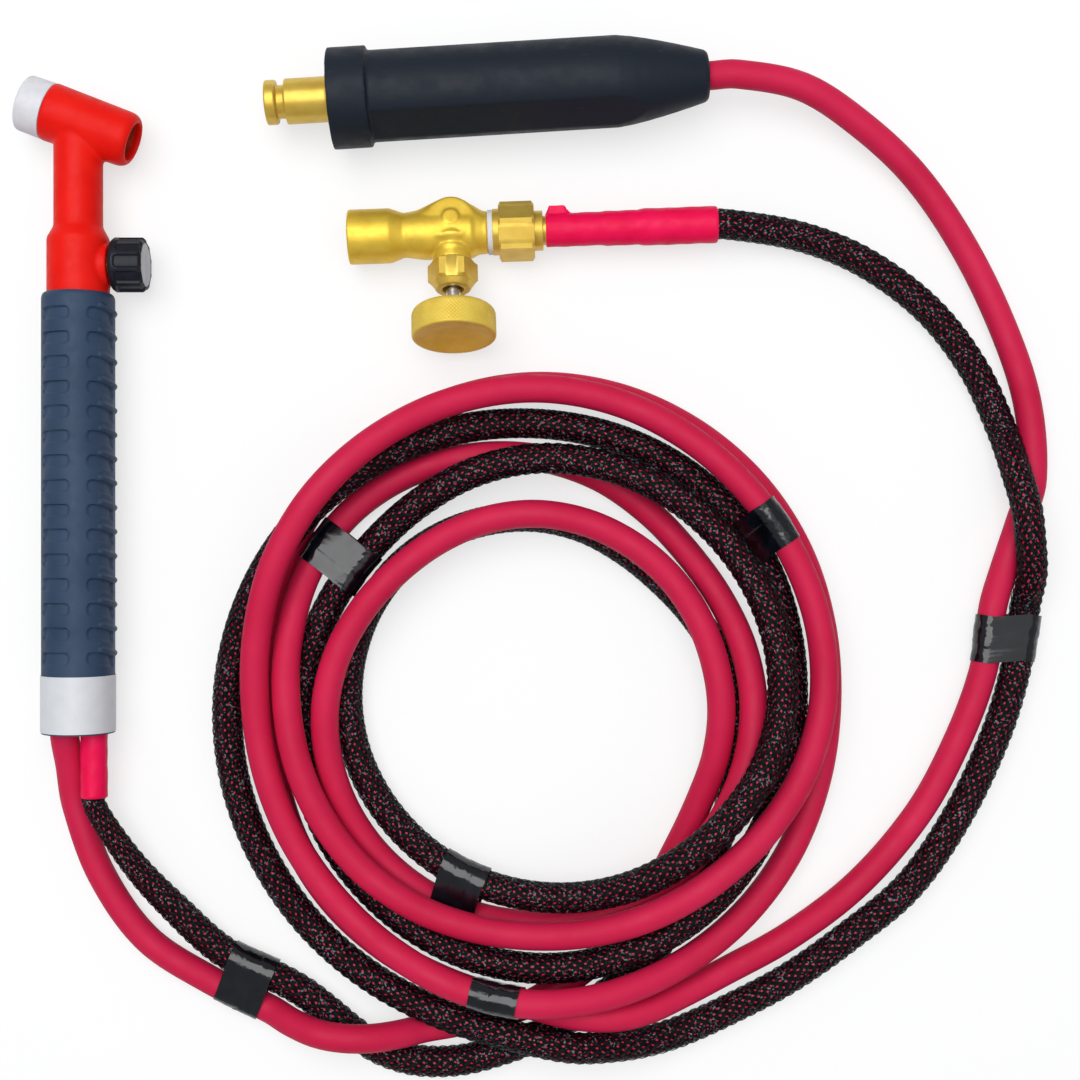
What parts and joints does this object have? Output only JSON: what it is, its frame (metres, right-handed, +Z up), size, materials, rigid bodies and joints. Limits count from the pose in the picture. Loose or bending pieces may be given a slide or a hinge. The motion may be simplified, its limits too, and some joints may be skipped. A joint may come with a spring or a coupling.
{
  "type": "welding torch",
  "caption": "Air-cooled arc welding torch: angled head, thumb valve and ribbed grip, with coiled power cable and braided gas hose, a bayonet plug and a brass gas valve.",
  "frame": {"origin": "on the table under the middle of the torch's own box, cords, plug and gas valve left out", "axes": "+Y along the handle towards the head, +X towards the torch's valve knob, +Z up from the table"},
  "size_m": [0.3503, 0.3516, 0.0347],
  "materials": {
    "grip": "moulded slate-blue grip, fine satin grain",
    "label": "plain pale band, satin",
    "cover": "moulded red rubber-like cover, soft sheen",
    "gasket": "white fluoropolymer, satin",
    "head_brass": "machined brass",
    "copper": "drawn copper tube",
    "seal_rubber": "soft black rubber",
    "knob": "black moulded plastic, satin",
    "hose_core": "smooth red hose",
    "shrink": "shrunk pink-red sleeve, glossy and slightly wrinkled",
    "cable": "dark red extruded jacket, satin",
    "braid": "black braided sleeve with red showing in the gaps",
    "tape": "black wrapped tape, glossy and creased",
    "plug_rubber": "black moulded rubber, soft sheen",
    "valve_brass": "turned and cast brass",
    "steel": "plated steel"
  },
  "bodies": {
    "torch": {"handle": "grip", "label_band": "label", "torch_cover": "cover", "cup_gasket": "gasket", "head_insert": "head_brass", "neck_tube": "copper", "valve_block": "head_brass", "stem_gland": "head_brass", "stem_seal": "seal_rubber", "power_connector": "head_brass", "hose_barb": "head_brass", "hose_core_torch": "hose_core", "hose_crimp": "head_brass", "shrink_sleeve_torch": "shrink", "cable_lead": "cable", "cable_coil": "cable", "cable_tail": "cable", "hose_lead": "braid", "hose_coil": "braid", "hose_tail": "braid", "tape_lead": "tape", "tape_coil_bottom": "tape", "tape_coil_left": "tape", "tape_coil_right": "tape", "tape_coil_inner": "tape", "tape_tail": "tape", "plug_body": "plug_rubber", "plug_pin": "valve_brass", "plug_screw": "steel", "gas_valve_body": "valve_brass", "packing_nut": "valve_brass", "packing_ring": "seal_rubber", "outlet_washer": "gasket", "hose_nut": "valve_brass", "hose_nipple": "valve_brass", "hose_core_valve": "hose_core", "hose_clamp": "steel", "shrink_sleeve_valve": "shrink"},
    "torch_stem": {"torch_stem": "head_brass"},
    "torch_knob": {"torch_knob": "knob"},
    "gas_stem": {"gas_valve_stem": "steel"},
    "hand_wheel": {"hand_wheel": "valve_brass"}
  },
  "joints": [
    {"name": "torch_stem_slide", "type": "slide", "parent": "torch", "child": "torch_stem", "axis": [1, 0, 0], "range_m": [0, 0.0015]},
    {"name": "torch_knob_turn", "type": "hinge", "parent": "torch_stem", "child": "torch_knob", "pos_m": [0.01649, 0.04701, 0.0124], "axis": [1, 0, 0], "range_deg": [0, 540]},
    {"name": "gas_stem_slide", "type": "slide", "parent": "torch", "child": "gas_stem", "axis": [0.0335, -0.9607, 0.2756], "range_m": [0, 0.00375]},
    {"name": "hand_wheel_turn", "type": "hinge", "parent": "gas_stem", "child": "hand_wheel", "pos_m": [0.12631, 0.0262, 0.0197], "axis": [0.0335, -0.9607, 0.2756], "range_deg": [0, 1080]}
  ],
  "couplings": [
    {"joint": "torch_knob_turn", "follows": "torch_stem_slide", "rad_per_m": 6283.1},
    {"joint": "hand_wheel_turn", "follows": "gas_stem_slide", "rad_per_m": 5026.5}
  ]
}
